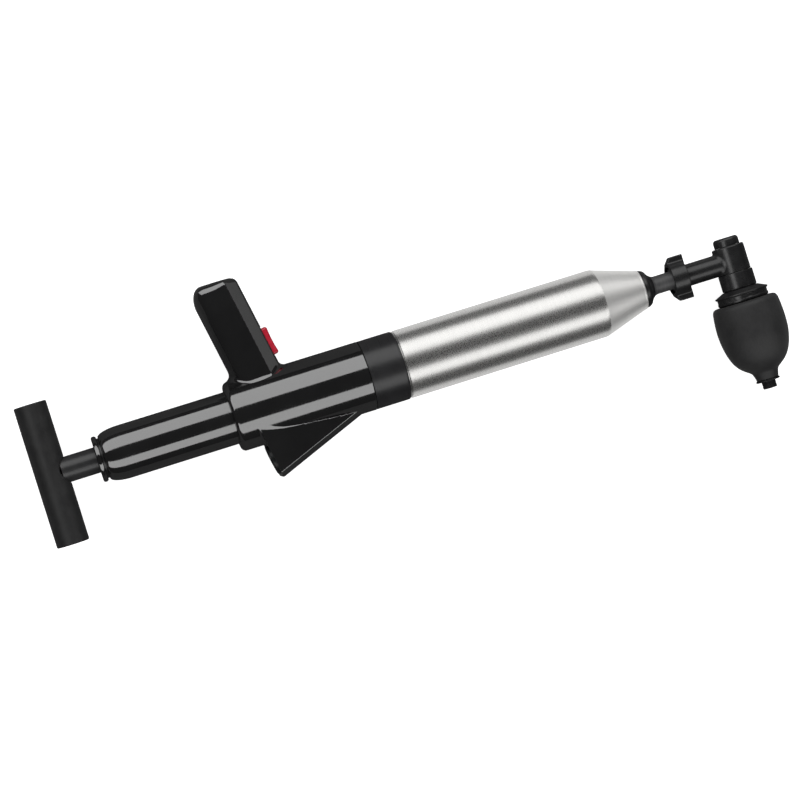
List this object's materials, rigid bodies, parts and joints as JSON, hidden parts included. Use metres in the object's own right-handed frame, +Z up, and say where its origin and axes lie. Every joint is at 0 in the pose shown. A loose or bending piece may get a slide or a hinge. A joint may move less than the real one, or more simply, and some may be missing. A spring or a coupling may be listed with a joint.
{
  "type": "hand pump drain cleaner",
  "caption": "Hand-pumped compressed-air drain cleaner: T-handle pump, pistol grip with trigger, steel pressure tank and swivelling rubber plunger head.",
  "frame": {"origin": "middle of the overall box's lower face, where the pump lies on its side", "axes": "+X along the barrel from the T-handle to the nozzle, +Y from the plunger towards the pistol grip, +Z up off the floor"},
  "size_m": [0.647, 0.2251, 0.0604],
  "materials": {
    "gloss_black": "gloss black moulded plastic",
    "satin_black": "satin black moulded plastic",
    "grip_black": "matte black soft-touch sleeve",
    "fitting_black": "black glass-filled nylon, semi-matt",
    "brushed_tank": "stainless sheet brushed around",
    "rod_black": "satin black coated tube",
    "trigger_red": "crimson moulded plastic",
    "bulb_rubber": "dark moulded rubber",
    "seal_rubber": "black seal rubber",
    "plain_steel": "zinc plated steel",
    "spring_steel": "bright spring wire",
    "valve_brass": "turned brass",
    "white_plastic": "natural acetal",
    "dial_white": "printed white dial",
    "lens_clear": "clear lens",
    "needle_red": "red painted pointer"
  },
  "bodies": {
    "gun": {"housing_upper": "gloss_black", "housing_lower": "gloss_black", "housing_screws": "plain_steel", "pump_barrel": "gloss_black", "rod_bush": "fitting_black", "guide_ring": "gloss_black", "rod_wiper": "seal_rubber", "bulkhead": "fitting_black", "bulkhead_gasket": "seal_rubber", "spigot_seal": "seal_rubber", "collar": "satin_black", "tank_shell": "brushed_tank", "nozzle_body": "fitting_black", "nozzle_seal": "seal_rubber", "valve_seat": "valve_brass", "gland_seal": "seal_rubber", "check_valve_cage": "white_plastic", "check_valve_spring": "spring_steel", "gauge_case": "fitting_black", "gauge_dial": "dial_white", "gauge_lens": "lens_clear", "gauge_bezel": "fitting_black", "bourdon_tube": "valve_brass", "gauge_line": "valve_brass", "trigger_spring": "spring_steel"},
    "pump_seal": {"piston_seal": "seal_rubber"},
    "pump_handle": {"piston": "white_plastic", "piston_washer": "plain_steel", "piston_screw": "plain_steel", "pump_rod": "rod_black", "rod_bumper": "seal_rubber", "rod_end_plug": "plain_steel", "cross_tube": "plain_steel", "handle_sleeve": "grip_black", "handle_end_plugs": "grip_black", "handle_screw": "plain_steel"},
    "trigger": {"trigger_button": "trigger_red", "trigger_arm": "plain_steel", "pull_rod": "plain_steel", "pull_rod_nuts": "plain_steel", "valve_yoke": "plain_steel", "poppet": "valve_brass", "poppet_seal": "seal_rubber"},
    "check_valve": {"check_disc": "seal_rubber"},
    "gauge_hand": {"gauge_needle": "needle_red"},
    "nut": {"coupling_nut": "fitting_black"},
    "elbow": {"elbow_body": "fitting_black", "face_gasket": "seal_rubber"},
    "plunger_head": {"banjo_bolt": "fitting_black", "banjo_seals": "seal_rubber", "swivel_sleeve": "fitting_black", "clamp_ring": "fitting_black", "plunger_bulb": "bulb_rubber", "feed_tube": "fitting_black", "tip_washer": "fitting_black"}
  },
  "joints": [
    {"name": "pump_stroke", "type": "slide", "parent": "gun", "child": "pump_seal", "axis": [-1, 0, 0], "range_m": [0, 0.18]},
    {"name": "handle_turn", "type": "hinge", "parent": "pump_seal", "child": "pump_handle", "pos_m": [-0.3235, 0.00075, 0.0302], "axis": [1, 0, 0], "continuous": true},
    {"name": "trigger_pull", "type": "slide", "parent": "gun", "child": "trigger", "axis": [-1, 0, 0], "range_m": [0, 0.004], "stiffness_N_per_m": 900, "springref_m": -0.004, "deforming": ["trigger_spring"]},
    {"name": "check_valve_lift", "type": "slide", "parent": "gun", "child": "check_valve", "axis": [1, 0, 0], "range_m": [0, 0.0015], "stiffness_N_per_m": 60, "springref_m": -0.002, "deforming": ["check_valve_spring"]},
    {"name": "gauge_sweep", "type": "hinge", "parent": "gun", "child": "gauge_hand", "pos_m": [-0.13239, -0.04275, 0.0302], "axis": [0.9854, 0.1702, 0], "range_deg": [0, 270], "stiffness_Nm_per_rad": 0.00005},
    {"name": "nut_turn", "type": "hinge", "parent": "gun", "child": "nut", "pos_m": [0.24425, 0.00075, 0.0302], "axis": [1, 0, 0], "range_deg": [0, 90]},
    {"name": "elbow_swivel", "type": "hinge", "parent": "gun", "child": "elbow", "pos_m": [0.2518, 0.00075, 0.0302], "axis": [-1, 0, 0], "continuous": true},
    {"name": "head_swivel", "type": "hinge", "parent": "elbow", "child": "plunger_head", "pos_m": [0.2933, 0.00075, 0.0302], "axis": [0, 1, 0], "continuous": true}
  ]
}
